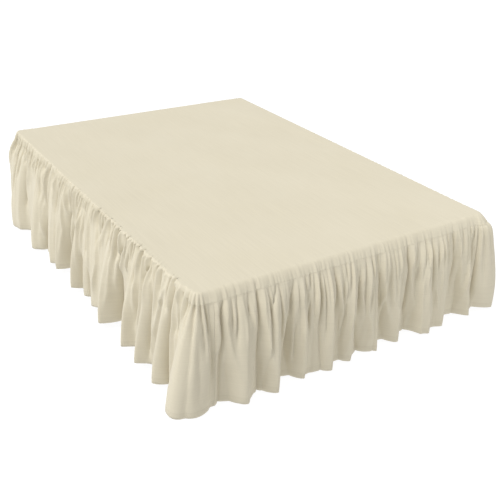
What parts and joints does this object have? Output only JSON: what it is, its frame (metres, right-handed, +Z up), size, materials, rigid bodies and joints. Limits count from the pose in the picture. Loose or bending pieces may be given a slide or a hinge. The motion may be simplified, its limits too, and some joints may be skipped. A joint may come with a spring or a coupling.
{
  "type": "bed skirt on bed base",
  "caption": "Gathered cloth bed skirt with a flat deck, falling in long uneven folds to the floor on three sides of a plain box base on legs.",
  "frame": {"origin": "on the floor under the middle of the bed", "axes": "+Z up, +Y towards the head end, +X towards the right side as seen from the foot, looking to the head"},
  "size_m": [1.594, 2.0576, 0.4662],
  "materials": {
    "cloth": "ivory woven cotton, matt",
    "base_cover": "plain woven cover, matt",
    "leg_wood": "plain satin wood"
  },
  "bodies": {
    "root": {"deck_cloth": "cloth", "ruffle_left": "cloth", "ruffle_foot": "cloth", "ruffle_right": "cloth", "bed_base": "base_cover", "leg_foot_left": "leg_wood", "leg_foot_right": "leg_wood", "leg_middle_left": "leg_wood", "leg_middle_right": "leg_wood", "leg_head_left": "leg_wood", "leg_head_right": "leg_wood"}
  },
  "joints": []
}
